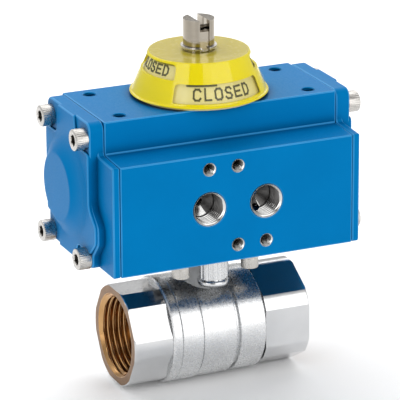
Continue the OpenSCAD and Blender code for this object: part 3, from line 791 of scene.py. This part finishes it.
casting_profile = [
    (0, x - 16.65), (21.0, x - 16.65), (21.35, x - 16.35), (21.4, x - 15.8), (21.4, x - 8.0),
    (21.2, x - 7.75), (20.6, x - 7.7), (20.6, x - 7.4), (20.95, x - 7.3), (21.1, x - 6.9), (21.15, x),
    (21.05, x + 6.6), (20.8, x + 6.9), (19.5, x + 7.0), (19.3, x + 7.3), (19.3, x + 8.2), (19.6, x + 8.5),
    (20.6, x + 8.7), (20.85, x + 9.0), (20.9, x + 9.5), (20.9, x + 19.0), (20.75, x + 19.35),
    (20.3, x + 19.5), (19.3, x + 19.55), (19.3, x + 20.1), (0, x + 20.1)]
casting = lathe(casting_profile, flow, 192)
outlet_hex = soften(port_end(x + 19.9, outlet_x, 19.7, 30, 21.2, 20.8, 1), 0.25, 3, 20)
neck = lathe([(0, 5), (NECK_R, 16), (NECK_R, 31), (NECK_R + 0.3, 31.4), (0, 32)], upright, 96)
plate_outline = rounded([(-18.5, -18.5), (18.5, -18.5), (18.5, 18.5), (-18.5, 18.5)], 4.5, 8)
plate = soften(prism(plate_outline, 31.5, 38, upright), 0.5, 3, 40)
add(casting, outlet_hex, neck, plate)
boss = turn_to("+Z", (stem_x, BOSS_Y, 0))
add(casting, lathe([(0, 20.2), (4.6, 20.2), (5.8, 20.7), (6.2, 21.4), (6.2, 22.2), (6.0, 22.7), (5.55, 23.1),
                    (BOSS_R, 23.6), (BOSS_R, 31.6), (0, 31.6)], boss, 64))
for k in range(9):
    spread = math.radians(-80 + 20 * k)
    rib = turn_to("+Z", (stem_x + BOSS_R * math.sin(spread), BOSS_Y - BOSS_R * math.cos(spread), 0))
    add(casting, lathe([(0, 23), (0.2, 23), (0.44, 23.6), (0.44, 31.6), (0, 31.6)], rib, 16))
cut(casting, lathe([(0, x - 18), (18.4, x - 18), (18.4, x + 16), (FLOW_R, x + 16), (FLOW_R, outlet_x - 18.3),
                    (LINING, outlet_x - 18.3), (LINING, outlet_x + 1), (0, outlet_x + 1)], flow, 128))
stem_bore = [(0, 10), (8.1, 10), (8.1, 22), (6.05, 22), (6.05, 27), (8.6, 27), (8.6, 33), (10.6, 33),
             (10.6, 39), (0, 39)]
cut(casting, lathe(stem_bore, upright, 64))
bolt_spots = [(stem_x + sx * BOLT_OFFSET, sy * BOLT_OFFSET) for sx in (-1, 1) for sy in (-1, 1)]
for spot in bolt_spots:
    cut(casting, lathe([(0, 30), (2.25, 30), (2.25, 39), (0, 39)], turn_to("+Z", (*spot, 0)), 32))
settle(casting, "valve_casting", "frame", [cast_chrome, brass_face, turned_chrome, chrome_shade],
       ["valve_body"])
for face in casting.data.polygons:
    from_stem = math.hypot(face.center.x - x * MM, face.center.y)
    if face.normal.x > 0.9 and face.center.x > (outlet_x - 0.3) * MM:
        face.material_index = 1
    elif face.center.x > (x + 20) * MM:
        face.material_index = 2
    # painted shade: dark chrome on the neck and on the downward faces high on the casting
    elif 15 * MM < face.center.z < 33 * MM and from_stem < (NECK_R + 0.3) * MM:
        face.material_index = 3
    elif face.normal.z < -0.3 and face.center.z > 19 * MM:
        face.material_index = 3

for name, axis, mouth_x in (("inlet_thread", "+X", inlet_x), ("outlet_thread", "-X", outlet_x)):
    place = turn_to(axis, (mouth_x, 0, 0))
    lining = threaded_cup(*PIPE_THREAD, PIPE_DEPTH, LINING - 0.02, LINING - 0.1, FLOW_R, place, 14, 128)
    settle(lining, name, "frame", brass, sharp=60)

bolts = [socket_screw(3.5, 4, 2, 13, 3, turn_to("-Z", (*spot, 30))) for spot in bolt_spots]
settle(merge(bolts), "mounting_bolts", "frame", stainless, ["mounting_screws"])
settle(refined("spring_washers", 0.1), "spring_rings", "frame", stainless, ["spring_washers"])

# ---------------------------------------------------------------- inner parts kept from the CAD

inner = [
    (bare_alloy, ["left_piston", "right_piston"]),
    (rubber, ["left_piston_ring", "right_piston_ring", "left_cap_seal", "right_cap_seal",
              "pinion_top_ring", "pinion_bottom_ring", "body_seal", "stem_rings"]),
    (slide_plastic, ["left_guide_band", "right_guide_band", "left_rack_pad", "right_rack_pad", "upper_bush",
                     "lower_bush", "left_seat", "right_seat", "thrust_washer", "packing_rings"]),
    (turned_chrome, ["ball"]),
    (stainless, ["stem"]),
    (brass, ["gland_nut"]),
]
for material, nodes in inner:
    for node in nodes:
        mesh = frame["nodes"][node].data
        mesh.materials.clear()
        mesh.materials.append(material)
        for polygon in mesh.polygons:
            polygon.use_smooth = False

# ---------------------------------------------------------------- floor, light and camera

bpy.ops.mesh.primitive_plane_add(size=8, location=(0, 0, floor_z * MM))
floor = bpy.context.active_object
floor.name = "floor"
paper = surface("floor_paper", (0.98, 0.98, 0.98), (0.99, 0.99, 0.99), (0.6, 0.7), scale=3, bump=0.1,
                bump_scale=40)
floor.data.materials.append(paper)

world = bpy.data.worlds.new("studio")
scene.world = world
world.use_nodes = True
background = world.node_tree.nodes["Background"]
background.inputs["Color"].default_value = (1, 1, 1, 1)
background.inputs["Strength"].default_value = 0.52


def softbox(name, at, size, power, aim):
    """Rectangular light at a place, pointing at its aim."""
    light = bpy.data.lights.new(name, "AREA")
    light.shape = "RECTANGLE"
    light.size, light.size_y = size
    light.energy = power
    obj = bpy.data.objects.new(name, light)
    scene.collection.objects.link(obj)
    obj.location = at
    obj.rotation_euler = (Vector(aim) - Vector(at)).to_track_quat("-Z", "Y").to_euler()


def softbox_at(name, azimuth, elevation, distance, size, radiance):
    """Softbox facing the object from a direction; azimuth 0 is in front of the air ports."""
    a, e = math.radians(azimuth), math.radians(elevation)
    aim = Vector((stem_x * MM, 0, 0.07))
    at = aim + Vector((math.sin(a) * math.cos(e), -math.cos(a) * math.cos(e), math.sin(e))) * distance
    softbox(name, at, size, radiance * math.pi * size[0] * size[1], aim)


softbox_at("right_box", 16, 15, 0.9, (0.95, 0.85), 1.42)
softbox_at("left_box", -60, 20, 0.9, (0.42, 0.75), 1.8)
softbox_at("overhead", 150, 78, 1.4, (1.6, 1.6), 0.5)
wash_at, wash_size = Vector((0.22, 0.42, 0.4)), (1.3, 0.7)
wash_power = 1.4 * math.pi * wash_size[0] * wash_size[1]
softbox("back_wash", wash_at, wash_size, wash_power, wash_at - Vector((0, 0.05, 1)))

VIEW_AZIMUTH, VIEW_ELEVATION, VIEW_ROLL = -24.1, 19.0, -0.3
DISTANCE, LENS = 1.27, 289.35
target = Vector((stem_x + 0.2, 0, port_z - 9.3)) * MM
azimuth, elevation, roll = (math.radians(v) for v in (VIEW_AZIMUTH, VIEW_ELEVATION, VIEW_ROLL))
back = Vector((math.sin(azimuth) * math.cos(elevation), -math.cos(azimuth) * math.cos(elevation),
               math.sin(elevation)))
right = Vector((math.cos(azimuth), math.sin(azimuth), 0))
up = back.cross(right)
right_rolled = right * math.cos(roll) + up * math.sin(roll)
up_rolled = back.cross(right_rolled)
camera = bpy.data.objects.new("camera", bpy.data.cameras.new("camera"))
scene.collection.objects.link(camera)
camera.data.lens = LENS
camera.data.sensor_width = 36
camera.data.clip_start = 0.05
sight = Matrix((right_rolled, up_rolled, back)).transposed().to_4x4()
camera.matrix_world = Matrix.Translation(target + back * DISTANCE) @ sight
scene.camera = camera
scene.view_settings.view_transform = "Standard"

# dark room behind the camera, seen only as a reflection in the bright metal
ROOM_DISTANCE, ROOM_SIDE, ROOM_LOW, ROOM_HIGH = 1.45, 0.75, -0.1, 1.2
room_corners = [(-ROOM_SIDE, 0, ROOM_LOW), (ROOM_SIDE, 0, ROOM_LOW), (ROOM_SIDE, 0, ROOM_HIGH),
                (-ROOM_SIDE, 0, ROOM_HIGH)]
room_mesh = bpy.data.meshes.new("dark_room")
room_mesh.from_pydata(room_corners, [], [(0, 1, 2, 3)])
room_mesh.materials.append(surface("dark_cloth", (0.01, 0.01, 0.01), (0.02, 0.02, 0.02), (0.8, 0.9), scale=3))
dark_room = bpy.data.objects.new("dark_room", room_mesh)
scene.collection.objects.link(dark_room)
room_turn = Matrix.Translation((stem_x * MM, 0, 0)) @ Matrix.Rotation(azimuth, 4, "Z")
dark_room.matrix_world = room_turn @ Matrix.Translation((0, -ROOM_DISTANCE, 0))
dark_room.visible_camera = dark_room.visible_diffuse = dark_room.visible_shadow = False
